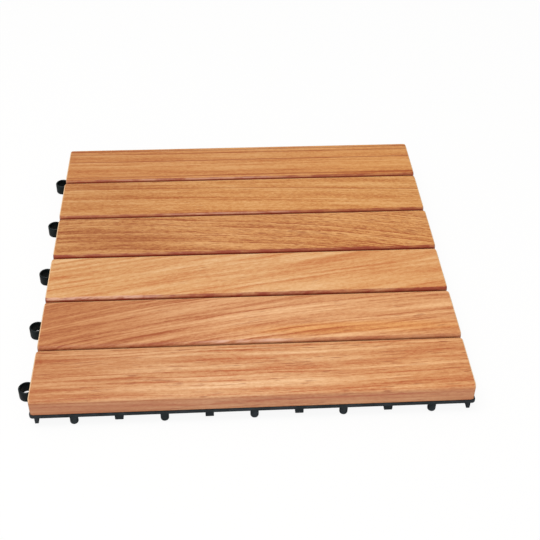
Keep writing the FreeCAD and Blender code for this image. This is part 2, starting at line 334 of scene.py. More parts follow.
def edge_tones(tree, wood, facing, level, sides, board, look):
    """Painted highlights on the back edge and on a stretch of the front edge, and painted red shade on the
    front edge.
    """
    rounding = times(tree, level["Z"], level["Y"])
    front = reckon(tree, "LESS_THAN", facing["Y"], 0.0)
    # painted highlight on the back rounding, where it catches the light
    back_light = times(tree, graded(tree, rounding, 0.08, 0.35), minus(tree, 1.0, front))
    wood = blend_in(tree, times(tree, back_light, 0.35), wood, colour(240, 192, 136))

    # painted shade: the front rounding turns dark red, unevenly along its length
    stain = graded(tree, stretched_noise(tree, board, 14, 5, 3.0), 0.38, 0.62, 0.55, 1.0)
    red_edge = times(tree, times(tree, graded(tree, level["Y"], 0.04, 0.3), front), stain)
    wood = blend_in(tree, times(tree, red_edge, look["red_edge"]), wood, colour(138, 46, 18))

    # painted highlight: a pale pink stretch along the top of the front edge
    middle, half_length, strength, width = look["pale_edge"]
    off = reckon(tree, "DIVIDE", minus(tree, sides["X"], middle), half_length)
    near = graded(tree, unsigned(tree, off), 1.2, 0.5, 0.0, strength)
    patchy = graded(tree, stretched_noise(tree, board, 16, 3, 3.0, 0.6), 0.36, 0.56)
    from_front = plus(tree, sides["Y"], SLAT_WIDTH / 2)
    in_width = graded(tree, from_front, width + 0.4, width - 0.8)
    upward = graded(tree, facing["Z"], 0.45, 0.75)
    pale = times(tree, times(tree, times(tree, in_width, upward), near), patchy)
    return blend_in(tree, pale, wood, colour(220, 174, 150))


# %% [markdown]
# Pores are the cut vessels of the wood: short dark grooves, crowded in one place and rare in the next.
# They darken the colour, and a Bump node sinks them a little into the surface. The fibres change how
# glossy the oil is. Real grooves would cost very many faces, and from here nobody could tell.

# %% Put the finish of one slat together
def new_finish(name):
    """A material with an empty tree."""
    material = bpy.data.materials.new(name)
    material.use_nodes = True
    material.node_tree.nodes.clear()
    return material, material.node_tree


def end_finish(tree, tone, roughness, relief, share, depth, others):
    """Gives a finish its colour, its gloss, a relief up to depth mm deep, and the settings in others."""
    bump = put(tree, "ShaderNodeBump", {"Height": relief, "Strength": share, "Distance": depth * MM})
    inputs = {"Base Color": tone, "Roughness": roughness, "Normal": bump.outputs[0], **others}
    surface = put(tree, "ShaderNodeBsdfPrincipled", inputs)
    put(tree, "ShaderNodeOutputMaterial", {"Surface": surface.outputs[0]})


def hardwood(name, look):
    """The oiled hardwood of one slat; its look gives the tones, the run of the grain, rings and pores."""
    material, tree = new_finish(name)
    place = put(tree, "ShaderNodeTexCoord").outputs["Object"]
    slat_middle = (0, look["middle"] * MM, (WOOD_BOTTOM + WOOD_TOP) / 2 * MM)
    in_slat = put(
        tree, "ShaderNodeMapping", {"Vector": place, "Location": slat_middle, "Scale": (MM, MM, MM)},
        vector_type="TEXTURE",
    ).outputs[0]
    sides = parts_of(tree, in_slat)
    across, log = grain_place(tree, in_slat, look)
    ring_tone, line = rings_of(tree, across, sides["Z"], log, look)

    bands = stretched_noise(tree, log, look["band"][0], look["band"][1], 3.0, 0.55)
    fibres = stretched_noise(tree, log, 30, 0.8, 2.0, 0.6)
    wood = grain_tones(tree, bands, fibres, ring_tone, line, log, look)
    wood = tints_and_lines(tree, wood, in_slat, sides, across, bands, look)

    crowd = times(tree, minus(tree, stretched_noise(tree, log, 60, 7, 1.0), 0.5), 0.35)
    pores = stretched_noise(tree, log, look["pore_size"][0], look["pore_size"][1], 1.0, 0.5)
    pores = graded(tree, plus(tree, pores, crowd), 0.66 - look["more_pores"], 0.8 - look["more_pores"])
    wood = blend_in(tree, times(tree, pores, look["pore_depth"]), wood, colour(140, 54, 14))

    facing = parts_of(tree, put(tree, "ShaderNodeNewGeometry").outputs["True Normal"])
    level = {axis: unsigned(tree, facing[axis]) for axis in "XYZ"}
    wood = side_tones(tree, wood, facing, level, sides, look)
    wood = edge_tones(tree, wood, facing, level, sides, log, look)

    rough = graded(tree, fibres, 0.3, 0.7, 0.6, 0.48, "LINEAR")
    height = minus(tree, times(tree, fibres, 0.5), pores)
    end_finish(tree, wood, rough, height, 0.35, 0.12, {"Specular IOR Level": 0.4})
    return material


# %% [markdown]
# Each slat was cut from another board, so each has its own look. The tones were chosen board by board: a
# base, a dark and a light one, with a tint towards each end. `rise` is how many degrees the grain rises at
# the left and at the right end, `ring` how far apart the rings lie, and `heart` where the middle of the
# tree was. A heart far below gives straight lines, and one that is near gives arches.
#
# Little light gets into a gap, and what comes back is dark and red. This shade is painted: `gap_behind` and
# `gap_before` say how dark the two long sides of a slat are painted, and `red_edge` says how red the
# rounding of its front edge is painted. `pale_edge` is a pale highlight painted on a stretch of that edge:
# its middle, half its length, its strength and its width.

# %% Choose the look of each slat
def board_look(middle, seed, base, dark, light, **more):
    """The look of one slat; what isn't named keeps the usual value."""
    usual = {
        "rise": (0.0, 0.0), "wave": (130, 45, 5.0), "ripple": (24, 8, 0.6),
        "ring": 3.4, "heart": (-90, -60), "ring_tones": 0.25, "lines": 0.3,
        "band": (110, 6), "contrast": 0.6, "fibres": 0.6, "flecks": 0.7,
        "pore_size": (14, 0.8), "more_pores": 0.0, "pore_depth": 0.6, "patches": [], "dark_lines": [],
        "left_tint": (1, 1, 1, 1), "right_tint": (1, 1, 1, 1), "gap_behind": 0.8, "gap_before": 0.8,
        "pale_edge": (0, 60, 0.0, 2.0), "red_edge": 0.85,
    }
    unknown = set(more) - set(usual)
    assert not unknown, unknown
    return {**usual, "middle": middle, "seed": seed, "base": base, "dark": dark, "light": light, **more}


slat_looks = [
    board_look(
        2.5 * SLAT_PITCH, 3, (203, 140, 81), (172, 90, 36), (222, 170, 114),
        wave=(130, 45, 1.5), ring=2.6,
        contrast=1.1, fibres=0.5, flecks=0.9, more_pores=-0.06,
        left_tint=(0.92, 0.88, 0.86, 1), right_tint=(1.05, 1.03, 0.92, 1),
        dark_lines=[
            (3.7, 0.9, 0.9), (15.0, 0.8, 0.7), (19.6, 1.0, 0.8), (-14.0, 0.6, 0.3), (-19.5, 1.6, 0.6),
        ],
        gap_behind=0.0, gap_before=0.85, pale_edge=(-30, 85, 0.45, 1.7),
    ),
    board_look(
        1.5 * SLAT_PITCH, 5, (203, 140, 78), (172, 94, 38), (222, 170, 112),
        rise=(0, -4.0), wave=(130, 45, 3.0), ring=2.2,
        contrast=1.4, fibres=0.5, flecks=1.3, more_pores=-0.02,
        left_tint=(0.9, 0.88, 0.9, 1), right_tint=(1.05, 1.08, 1.08, 1),
        dark_lines=[(11.0, 0.7, 0.7), (-6.0, 0.5, 0.3)],
        patches=[((0.82, 0.68, 0.58, 1), (-122, 19), (44, 7), 0.9)],
        gap_before=0.85, pale_edge=(-10, 58, 0.42, 1.7),
    ),
    board_look(
        0.5 * SLAT_PITCH, 7, (200, 138, 80), (160, 80, 32), (220, 166, 110),
        rise=(1.5, -13.0), ripple=(20, 8, 1.4), ring=1.9, lines=0.6,
        contrast=1.0, fibres=0.75, flecks=1.4, pore_size=(9, 0.75), more_pores=0.1, pore_depth=0.55,
        left_tint=(0.93, 0.94, 0.94, 1), right_tint=(1.08, 1.09, 1.03, 1),
        patches=[((0.84, 0.72, 0.64, 1), (-105, -8), (70, 18), 0.9)],
        gap_before=1.0, red_edge=0.95,
    ),
    board_look(
        -0.5 * SLAT_PITCH, 9, (213, 157, 103), (192, 114, 62), (230, 188, 142),
        rise=(12.0, 9.5), wave=(130, 45, 6.0), ring=4.2, ring_tones=0.35, lines=0.35,
        band=(120, 6), contrast=1.6, fibres=0.5, flecks=1.0, more_pores=-0.03,
        left_tint=(0.93, 0.9, 0.83, 1), right_tint=(1.0, 0.93, 0.82, 1),
        gap_before=0.6, red_edge=0.95, pale_edge=(-112, 52, 0.7, 2.9),
    ),
    board_look(
        -1.5 * SLAT_PITCH, 11, (209, 149, 101), (172, 92, 48), (232, 184, 138),
        rise=(16.0, 3.0), ring=3.2, lines=0.45,
        contrast=1.8, fibres=0.65, flecks=0.8,
        left_tint=(0.76, 0.61, 0.49, 1), right_tint=(1.0, 0.96, 0.88, 1),
        patches=[((1.05, 0.97, 0.72, 1), (75, -13), (95, 7), 0.9)],
        gap_before=0.0, red_edge=0.5, pale_edge=(0, 36, 0.8, 2.6),
    ),
    board_look(
        -2.5 * SLAT_PITCH, 13, (209, 152, 104), (180, 96, 50), (234, 190, 146),
        rise=(0.0, 2.0), ring=3.0, lines=0.45,
        contrast=1.6, fibres=0.7, flecks=0.8, pore_size=(12, 0.9), more_pores=0.05,
        left_tint=(0.81, 0.68, 0.58, 1), right_tint=(0.97, 0.87, 0.74, 1),
        patches=[((1.08, 1.15, 1.25, 1), (-30, -14), (80, 9), 0.8)],
        gap_behind=0.55, gap_before=0.0, red_edge=0.0,
    ),
]
slat_finishes = [hardwood(f"oiled_hardwood_{count}", look) for count, look in enumerate(slat_looks, 1)]
print(len(slat_finishes), "hardwood finishes")

# %% [markdown]
# ## Trees that make a piece
#
# A shape that repeats is made by Geometry Nodes. Each tree gets named sizes, so it can be read and changed
# without touching its nodes. It ends in Realize Instances, which turns copies into real faces, and in Set
# Material. Its result is then kept as a plain mesh, and the tree is taken off the piece.

# %% Start, end and run a tree
def new_tree(name, sizes):
    """A Geometry Nodes tree whose inputs are named in sizes; returns it and its input sockets."""
    tree = bpy.data.node_groups.new(name, "GeometryNodeTree")
    for size, kind in sizes.items():
        tree.interface.new_socket(size, in_out="INPUT", socket_type="NodeSocket" + kind)
    tree.interface.new_socket("Piece", in_out="OUTPUT", socket_type="NodeSocketGeometry")
    return tree, put(tree, "NodeGroupInput").outputs


def end_tree(tree, geometry, finish=None):
    """Turns copies into real faces, gives them their finish, and sends them out."""
    geometry = put(tree, "GeometryNodeRealizeInstances", {"Geometry": geometry}).outputs[0]
    geometry = put(tree, "GeometryNodeSetMaterial", {"Geometry": geometry, "Material": finish}).outputs[0]
    put(tree, "NodeGroupOutput", {"Piece": geometry})
    return tree


def work_solids(tree, operation, solids, first=None):
    """Closed solids melted together or kept where they meet, or, with first, cut out of that one."""
    inputs = {"Mesh 2": solids} if first is None else {"Mesh 1": first, "Mesh 2": solids}
    work = put(tree, "GeometryNodeMeshBoolean", inputs, operation=operation, solver="MANIFOLD")
    return work.outputs["Mesh"]


def grow(name, tree, sizes):
    """Runs a tree with these sizes and keeps the result as a plain mesh."""
    piece = bpy.data.objects.new(name, bpy.data.meshes.new(name))
    bpy.context.scene.collection.objects.link(piece)
    modifier = piece.modifiers.new(tree.name, "NODES")
    modifier.node_group = tree
    for socket in tree.interface.items_tree:
        if socket.in_out == "INPUT":
            modifier[socket.identifier] = sizes[socket.name]
    view = bpy.context.evaluated_depsgraph_get()
    mesh = bpy.data.meshes.new_from_object(piece.evaluated_get(view), depsgraph=view)
    piece.modifiers.remove(modifier)
    piece.data = mesh
    mesh.name = name
    print(f"{name}: {len(mesh.polygons)} faces")
    return piece


def drop(*pieces):
    """Removes pieces that were only needed to make another one."""
    for piece in pieces:
        bpy.data.objects.remove(piece)


# %% [markdown]
# ## The slats
#
# A slat is planed on all sides. Its two long top edges are rounded, so that bare feet find no sharp edge,
# and its ends are only eased. Its four corners are a little round when seen from above. It is made here as
# one section of the board, repeated along its length. Near each end the section gets lower and narrower,
# and that makes the eased end and the round corners.

# %% Draw the section of a slat
EDGE_ROUND, BOTTOM_EASE, END_EASE, CORNER_ROUND = 2.5, 0.35, 0.8, 2.4


def slat_section(inward, round_steps=7):
    """The outline of a slat seen from its end, in mm, at a place that lies inward from that end."""
    lowered = END_EASE * max(0.0, 1 - inward / END_EASE) ** 2
    narrowed = CORNER_ROUND - math.sqrt(CORNER_ROUND**2 - max(0.0, CORNER_ROUND - inward) ** 2)
    half, top = SLAT_WIDTH / 2 - narrowed, WOOD_THICKNESS - lowered
    quarter = [math.radians(90 * step / round_steps) for step in range(round_steps + 1)]
    rounding = [
        (half - EDGE_ROUND * (1 - math.cos(turn)), top - EDGE_ROUND * (1 - math.sin(turn)))
        for turn in quarter
    ]
    right = [(half - BOTTOM_EASE, 0.0), (half, BOTTOM_EASE)] + rounding
    return right + [(-across, up) for across, up in reversed(right)]


def plain_piece(name, mesh):
    """A piece from finished mesh work, with its faces turned outwards."""
    bmesh.ops.recalc_face_normals(mesh, faces=mesh.faces)
    piece = bpy.data.objects.new(name, bpy.data.meshes.new(name))
    mesh.to_mesh(piece.data)
    mesh.free()
    bpy.context.scene.collection.objects.link(piece)
    return piece


def skin(mesh, rings):
    """Joins rings of corners into a closed skin with flat ends."""
    for near, far in zip(rings, rings[1:]):
        for count in range(len(near)):
            after = (count + 1) % len(near)
            mesh.faces.new((near[count], near[after], far[after], far[count]))
    mesh.faces.new(rings[0])
    mesh.faces.new(list(reversed(rings[-1])))


def make_slat():
    """One slat, lying along X in the middle of the tile."""
    mesh = bmesh.new()
    half = SLAT_LENGTH / 2
    steps_inward = [0.0, 0.12, 0.4, 0.8, 1.35, CORNER_ROUND]
    left_end = [(-half + inward, inward) for inward in steps_inward]
    right_end = [(half - inward, inward) for inward in reversed(steps_inward)]
    skin(mesh, [
        [mesh.verts.new((x * MM, y * MM, (z + WOOD_BOTTOM) * MM)) for y, z in slat_section(inward)]
        for x, inward in left_end + right_end
    ])
    return plain_piece("slat_pattern", mesh)


slat_pattern = make_slat()
print("one slat has", len(slat_pattern.data.polygons), "faces")

# %% [markdown]
# Six copies of the slat are set on a line of points, one pitch apart. In the real tile the ends of the
# slats don't line up perfectly, so each is moved along by a chance amount of a few tenths of a millimetre.
# The chance has a fixed seed, so every run gives the same tile. Each point also carries its number, and by
# that number the slat gets its own finish.

# %% Lay the slats in a row
def points_in_line(tree, count, first, to_next):
    """Points in a straight line: how many, where the first one is, and the way from each to the next."""
    inputs = {"Count": count, "Start Location": first, "Offset": to_next}
    return put(tree, "GeometryNodeMeshLine", inputs).outputs[0]


def mesh_of(tree, pattern):
    """The mesh of an object that the tree is given."""
    return put(tree, "GeometryNodeObjectInfo", {"Object": pattern}).outputs["Geometry"]


def set_on(tree, points, mesh, **others):
    """Copies of a mesh, one on each point; others may choose among the points, or turn the copies."""
    inputs = {"Points": points, "Instance": mesh, **others}
    return put(tree, "GeometryNodeInstanceOnPoints", inputs).outputs[0]


def slat_row_tree(finishes):
    """Copies of a slat in a row, from the back to the front, each with its own finish."""
    tree, given = new_tree("slat_row", {
        "Slat": "Object", "Count": "Int", "Pitch": "Float", "End play": "Float", "Seed": "Int",
    })
    first = times(tree, minus(tree, given["Count"], 1.0), 0.5)
    back_slat = vector(tree, y=times(tree, first, given["Pitch"]))
    to_next = vector(tree, y=times(tree, given["Pitch"], -1.0))
    points = points_in_line(tree, given["Count"], back_slat, to_next)
    number = put(tree, "GeometryNodeInputIndex").outputs[0]
    points = put(
        tree, "GeometryNodeStoreNamedAttribute",
        {"Geometry": points, "Name": "slat", "Value": number}, data_type="INT", domain="POINT",
    ).outputs[0]
    least = times(tree, given["End play"], -1.0)
    play = put(
        tree, "FunctionNodeRandomValue",
        {2: least, 3: given["End play"], "ID": number, "Seed": given["Seed"]}, data_type="FLOAT",
    )
    moved = vector(tree, x=play.outputs[1])
    points = put(tree, "GeometryNodeSetPosition", {"Geometry": points, "Offset": moved}).outputs[0]
    row = set_on(tree, points, mesh_of(tree, given["Slat"]))
    geometry = put(tree, "GeometryNodeRealizeInstances", {"Geometry": row}).outputs[0]
    carried = put(tree, "GeometryNodeInputNamedAttribute", {"Name": "slat"}, data_type="INT").outputs[0]
    for count, finish in enumerate(finishes):
        on_slat = put(
            tree, "FunctionNodeCompare", {2: carried, 3: count}, data_type="INT", operation="EQUAL",
        ).outputs[0]
        geometry = put(
            tree, "GeometryNodeSetMaterial",
            {"Geometry": geometry, "Selection": on_slat, "Material": finish},
        ).outputs[0]
    put(tree, "NodeGroupOutput", {"Piece": geometry})
    return tree


hardwood_slats = grow("hardwood_slats", slat_row_tree(slat_finishes), {
    "Slat": slat_pattern, "Count": SLATS, "Pitch": SLAT_PITCH * MM, "End play": 0.25 * MM, "Seed": 4,
})
drop(slat_pattern)

# %% [markdown]
# ## The moulded base
#
# The base is one black moulding. Under a thin plate lies a lattice of ribs that cross at 45 degrees, and
# feet stand on the crossings. Hollow feet are open below, and solid studs stand between them. All of it
# follows one grid, so Geometry Nodes lay it out.
#
# The shapes are first made one by one, each a closed solid. A union then melts them into one body, and a
# difference takes the bores out, just as pins in the mould keep the plastic out of them.

# %% Patterns for the mould: blocks and turned pieces
HALF = TILE / 2


def at_tile_corner(edge):
    """True for an upright edge at one of the tile's four corners."""
    foot, head = (end.co.xy for end in edge.verts)
    return foot == head and min(abs(part) for part in foot) > (HALF - 0.01) * MM


def bevel(mesh, edges, size, steps=1):
    """Takes the sharpness off edges; size is in mm, and more steps make it round."""
    bmesh.ops.bevel(mesh, geom=edges, offset=size * MM, segments=steps, affect="EDGES", profile=0.5)


def block(name, low, high, ease=0.25, rounded=0.0):
    """A block between two corners, in mm, with eased edges, and rounder ones at the tile's corners."""
    mesh = bmesh.new()
    bmesh.ops.create_cube(mesh, size=1.0)
    for corner in mesh.verts:
        corner.co = [(a if way < 0 else b) * MM for a, b, way in zip(low, high, corner.co)]
    if rounded:
        bevel(mesh, [edge for edge in mesh.edges if at_tile_corner(edge)], rounded, 5)
    if ease:
        still_sharp = math.radians(40)
        bevel(mesh, [edge for edge in mesh.edges if edge.calc_face_angle() > still_sharp], ease)
    return plain_piece(name, mesh)


def turned(name, outline, around=24):
    """A round piece as from a lathe; outline is (radius, height) in mm, from one end to the other."""
    mesh = bmesh.new()
    turns = [2 * math.pi * (step + 0.5) / around for step in range(around)]
    skin(mesh, [
        [mesh.verts.new((radius * math.cos(t) * MM, radius * math.sin(t) * MM, z * MM)) for t in turns]
        for radius, z in outline
    ])
    return plain_piece(name, mesh)


# %% [markdown]
# Feet, studs, loops and pegs are round, so each is drawn as one side of its outline and turned, like work
# on a lathe. Plain cylinders would be quicker, but a moulded edge is never quite sharp, and a foot gets
# wider where it meets the lattice. The bores of the feet and the loops are solids too, to be cut out later.

# %% Turn the feet, the loops and the pegs
FOOT_TOP = WOOD_BOTTOM - 0.1
TUBE, TUBE_BORE, TUBE_FLOOR = 4.8, 3.5, 2.0
tube = turned("tube_outside", [
    (TUBE - 0.45, 0), (TUBE - 0.12, 0.12), (TUBE, 0.45), (TUBE, 5.2),
    (TUBE + 0.1, 5.6), (TUBE + 0.4, 5.95), (TUBE + 0.4, FOOT_TOP),
])
tube_bore = turned("tube_bore", [
    (TUBE_BORE + 0.45, -0.6), (TUBE_BORE + 0.45, 0), (TUBE_BORE + 0.12, 0.2),
    (TUBE_BORE, 0.6), (TUBE_BORE, WOOD_BOTTOM - TUBE_FLOOR),
])
STUD = 3.15
stud = turned("stud", [
    (STUD - 0.85, 0.6), (STUD - 0.3, 0.75), (STUD, 1.2), (STUD, 5.3),
    (STUD + 0.15, 5.8), (STUD + 0.35, 5.95), (STUD + 0.35, FOOT_TOP),
], 20)
LOOP, LOOP_BORE, LOOP_TOP = 5.8, 4.4, PLATE_BOTTOM - 0.1
loop = turned("loop_outside", [
    (LOOP - 0.25, 0.2), (LOOP - 0.06, 0.3), (LOOP, 0.6), (LOOP - 0.08, 7.75),
    (LOOP - 0.16, 8.04), (LOOP - 0.33, 8.25), (LOOP - 0.56, 8.37), (LOOP - 0.75, LOOP_TOP),
], 40)
loop_bore = turned("loop_bore", [
    (LOOP_BORE + 0.35, -0.4), (LOOP_BORE + 0.35, 0.2), (LOOP_BORE + 0.08, 0.34), (LOOP_BORE, 0.7),
    (LOOP_BORE, 7.95), (LOOP_BORE + 0.06, 8.24), (LOOP_BORE + 0.24, LOOP_TOP), (LOOP_BORE + 0.24, 9.0),
], 40)
PEG = 2.85
peg = turned("peg", [
    (PEG - 0.95, 0.4), (PEG - 0.55, 0.48), (PEG - 0.23, 0.75), (PEG - 0.05, 1.15), (PEG, 1.6), (PEG, 8.9),
], 28)
for pattern, radius in ((tube, TUBE), (stud, STUD), (loop, LOOP), (peg, PEG)):
    print(f"{pattern.name} is {2 * radius:.1f} mm across")

# %% [markdown]
# The ribs are long bars laid side by side, half of them along one diagonal and half along the other. The
# crossing bars are melted together and trimmed to a square, as the mould does at the edge of the lattice.
# The same tree runs twice: deep ribs end at the outermost feet, and thin ones go on to the frame.

# %% Lay the diagonal ribs
def quarter_turn(tree, mesh):
    """The mesh turned by a quarter about the middle of the tile."""
    quarter = (0, 0, math.radians(90))
    return put(tree, "GeometryNodeTransform", {"Geometry": mesh, "Rotation": quarter}).outputs[0]


def rib_tree():
    """Crossing diagonal bars, trimmed to a square."""
    tree, given = new_tree("diagonal_ribs", {
        "Node pitch": "Float", "Rib width": "Float", "Half side": "Float",
        "Bottom": "Float", "Top": "Float", "Bars": "Int",
    })
    height = minus(tree, given["Top"], given["Bottom"])
    middle = times(tree, plus(tree, given["Top"], given["Bottom"]), 0.5)
    step = times(tree, given["Node pitch"], 0.5)
    back = times(tree, minus(tree, given["Bars"], 1.0), times(tree, step, -0.5))
    first_bar = vector(tree, back, times(tree, back, -1.0), middle)
    to_next = vector(tree, step, times(tree, step, -1.0))
    line = points_in_line(tree, given["Bars"], first_bar, to_next)
    bar = put(tree, "GeometryNodeMeshCube", {
        "Size": vector(tree, times(tree, given["Half side"], 3.2), given["Rib width"], height),
    })
    bars = set_on(tree, line, bar.outputs["Mesh"], Rotation=(0, 0, math.radians(45)))
    bars = put(tree, "GeometryNodeRealizeInstances", {"Geometry": bars}).outputs[0]
    lattice = work_solids(tree, "UNION", [bars, quarter_turn(tree, bars)])
    width = times(tree, given["Half side"], 2.0)
    square = put(tree, "GeometryNodeMeshCube", {
        "Size": vector(tree, width, width, times(tree, height, 2.0)),
    })
    square = put(
        tree, "GeometryNodeTransform",
        {"Geometry": square.outputs["Mesh"], "Translation": vector(tree, z=middle)},
    ).outputs[0]
    return end_tree(tree, work_solids(tree, "INTERSECT", [lattice, square]))


NODES, LATTICE_INSET, RIB_WIDTH, RIB_HEIGHT = 7, 7.9, 3.0, 5.0
NODE_PITCH = (TILE - 2 * LATTICE_INSET) / NODES
OUTER_NODE = NODE_PITCH * (NODES - 1) / 2
CROSSINGS = 2 * NODES - 1
ribs = rib_tree()
lattice_sizes = {
    "Node pitch": NODE_PITCH * MM, "Rib width": RIB_WIDTH * MM, "Top": WOOD_BOTTOM * MM, "Bars": CROSSINGS,
}
deep_ribs = grow("deep_ribs", ribs, {
    **lattice_sizes, "Half side": (OUTER_NODE + RIB_WIDTH / 2) * MM,
    "Bottom": (WOOD_BOTTOM - RIB_HEIGHT) * MM,
})
plate_ribs = grow("plate_ribs", ribs, {
    **lattice_sizes, "Half side": (HALF - 5) * MM, "Bottom": PLATE_BOTTOM * MM,
})

# %% [markdown]
# The feet stand on a grid of half the node pitch, on every second point, like the black squares of a
# chessboard. Hollow and solid feet take turns. Near the middle of each side they change places, so that
# the row at the edge keeps clear of the couplings. The rule is written out as a few comparisons.

# %% Write the rule of the feet
def same(tree, first, second):
    """1 where the two whole numbers are the same, otherwise 0."""
    return reckon(tree, "LESS_THAN", unsigned(tree, minus(tree, first, second)), 0.5)


def is_even(tree, number):
    """1 where the whole number is even, otherwise 0."""
    return reckon(tree, "LESS_THAN", reckon(tree, "FRACT", times(tree, number, 0.5)), 0.25)


def unless(tree, first, second):
    """The first where the second is 0, otherwise 0."""
    return reckon(tree, "MAXIMUM", minus(tree, first, second), 0.0)


def foot_rule(tree, column, row, edge):
    """Where hollow feet stand, where studs stand, and where the middle is; each is 1 or 0."""
    near, far = reckon(tree, "MINIMUM", column, row), reckon(tree, "MAXIMUM", column, row)
    on_grid = is_even(tree, plus(tree, column, row))
    middle = same(tree, far, 0.0)
    side_middle = times(tree, same(tree, near, 0.0), same(tree, far, edge))
    beside = times(tree, same(tree, near, 1.0), same(tree, far, minus(tree, edge, 1.0)))
    hollow = reckon(tree, "MAXIMUM", unless(tree, is_even(tree, column), side_middle), beside)
    hollow = unless(tree, times(tree, on_grid, hollow), middle)
    stud_here = unless(tree, unless(tree, on_grid, hollow), middle)
    return hollow, stud_here, middle


# %% [markdown]
# A grid of points carries the feet. The rule gives each point a 1 or a 0, and Instance on Points sets a
# foot only where it says 1. The tree runs three times, for the hollow feet, for their bores and for the
# studs, so the bores are sure to stand where the feet do.

# %% Stand the feet on the crossings
def feet_tree():
    """One pattern set on the grid where it belongs: hollow feet, their bores, or studs."""
    tree, given = new_tree("feet_on_crossings", {
        "Foot": "Object", "Node pitch": "Float", "Points": "Int", "Studs": "Bool", "In the middle": "Bool",
    })
    step = times(tree, given["Node pitch"], 0.5)
    side = times(tree, step, minus(tree, given["Points"], 1.0))
    grid = put(tree, "GeometryNodeMeshGrid", {
        "Size X": side, "Size Y": side, "Vertices X": given["Points"], "Vertices Y": given["Points"],
    })
    place = parts_of(tree, put(tree, "GeometryNodeInputPosition").outputs[0])
    column, row = (
        unsigned(tree, reckon(tree, "ROUND", reckon(tree, "DIVIDE", place[axis], step))) for axis in "XY"
    )
    edge = times(tree, minus(tree, given["Points"], 1.0), 0.5)
    hollow, stud_here, middle = foot_rule(tree, column, row, edge)
    with_middle = reckon(tree, "MAXIMUM", hollow, times(tree, middle, given["In the middle"]))
    if_studs = times(tree, stud_here, given["Studs"])
    chosen = plus(tree, if_studs, unless(tree, with_middle, given["Studs"]))
    chosen = reckon(tree, "GREATER_THAN", chosen, 0.5)
    feet = set_on(tree, grid.outputs["Mesh"], mesh_of(tree, given["Foot"]), Selection=chosen)
    return end_tree(tree, feet)


feet = feet_tree()
grid_sizes = {"Node pitch": NODE_PITCH * MM, "Points": CROSSINGS}
tubes = grow("tubes", feet, {**grid_sizes, "Foot": tube, "Studs": False, "In the middle": True})
bores = grow("bores", feet, {**grid_sizes, "Foot": tube_bore, "Studs": False, "In the middle": False})
studs = grow("studs", feet, {**grid_sizes, "Foot": stud, "Studs": True, "In the middle": False})
for piece, pattern in ((tubes, tube), (bores, tube_bore), (studs, stud)):
    print(piece.name, "stand at", len(piece.data.vertices) // len(pattern.data.vertices), "places")

# %% [markdown]
# The couplings repeat along the sides. Loops hang off the back and the left side, pegs and flat tabs stand
# under the front and the right side. Whatever stands along the back stands along the left side too, turned
# by a quarter, and the same holds for front and right. So one tree makes a row and its turned copy, and
# every kind of piece along the edges uses it.
#
# The row of the pegs follows from the row of the loops, so that a peg of the next tile drops into the
# middle of a loop, with a narrow joint left open between the two tiles.

# %% Set a pattern along two sides
def side_tree():
    """A row of one pattern along a side, and the same row turned by a quarter to the next side."""
    tree, given = new_tree("along_two_sides", {
        "Pattern": "Object", "Count": "Int", "Pitch": "Float", "Row": "Float",
    })
    back = times(tree, minus(tree, given["Count"], 1.0), -0.5)
    first_one = vector(tree, times(tree, back, given["Pitch"]), given["Row"])
    to_next = vector(tree, given["Pitch"])
    line = points_in_line(tree, given["Count"], first_one, to_next)
    row = set_on(tree, line, mesh_of(tree, given["Pattern"]))
    both = put(tree, "GeometryNodeJoinGeometry", {"Geometry": [row, quarter_turn(tree, row)]})
    return end_tree(tree, both.outputs[0])


LOOP_PITCH, LOOP_REACH, TILE_JOINT = 60.6, 5.5, 1.8
LOOP_ROW, PEG_ROW = HALF + LOOP_REACH, -(HALF + TILE_JOINT - LOOP_REACH)
NECK_WIDTH, BUTTRESS_WIDTH, TAB_DEPTH = 8.0, 3.3, 4.6
neck = block("neck", (-NECK_WIDTH / 2, -9.2, 4.4), (NECK_WIDTH / 2, -5.05, LOOP_TOP), 0.3)
buttress = block("buttress", (-BUTTRESS_WIDTH / 2, -7, 2.5), (BUTTRESS_WIDTH / 2, 0, 9), 0.3)
tab = block("tab", (-PEG, -TAB_DEPTH / 2, 3.1), (PEG, TAB_DEPTH / 2, 9), 0.35)
along_sides = side_tree()
side_rows = {}
for name, pattern, count, row in (
    ("loops", loop, 5, LOOP_ROW), ("loop_bores", loop_bore, 5, LOOP_ROW), ("necks", neck, 5, LOOP_ROW),
    ("buttresses", buttress, 4, HALF), ("pegs", peg, 5, PEG_ROW), ("tabs", tab, 4, PEG_ROW),
):
    side_rows[name] = grow(name, along_sides, {
        "Pattern": pattern, "Count": count, "Pitch": LOOP_PITCH * MM, "Row": row * MM,
    })

# %% [markdown]
# What is left of the base stands once at each corner or once along a side: the frame of the plate, its
# corner pads, the rim under the two loop sides, and a thin fin under each corner.

# %% Make the frame, the pads, the rims and the fins
def four_corners(name, pattern_low, pattern_high, ease):
    """A block at each corner of the tile, the same way round; its corners are given for +X +Y."""
    mesh = bmesh.new()
    for x_way in (-1, 1):
        for y_way in (-1, 1):
            made = bmesh.ops.create_cube(mesh, size=1.0)["verts"]
            for corner in made:
                x, y, z = [a if way < 0 else b for a, b, way in zip(pattern_low, pattern_high, corner.co)]
                corner.co = (x * x_way * MM, y * y_way * MM, z * MM)
    if ease:
        bevel(mesh, mesh.edges, ease)
    return plain_piece(name, mesh)


FRAME_WIDTH, PLATE_ROUND = 9.7, 2.5
OPENING = HALF - FRAME_WIDTH
plate = block("plate", (-HALF, -HALF, PLATE_BOTTOM), (HALF, HALF, WOOD_BOTTOM), 0.3, PLATE_ROUND)
window = block("window", (-OPENING, -OPENING, 5), (OPENING, OPENING, 15), 0)
PAD_START, PAD_END = HALF - 24, HALF - 0.9
pads = four_corners(
    "corner_pads", (PAD_START, PAD_START, PLATE_BOTTOM), (PAD_END, PAD_END, WOOD_BOTTOM - 0.02), 0,
)
RIM_WIDTH, RIM_ROUND, RIM_STOP, RIM_BOTTOM = 3.7, 2.8, 7, PLATE_BOTTOM - 3.5
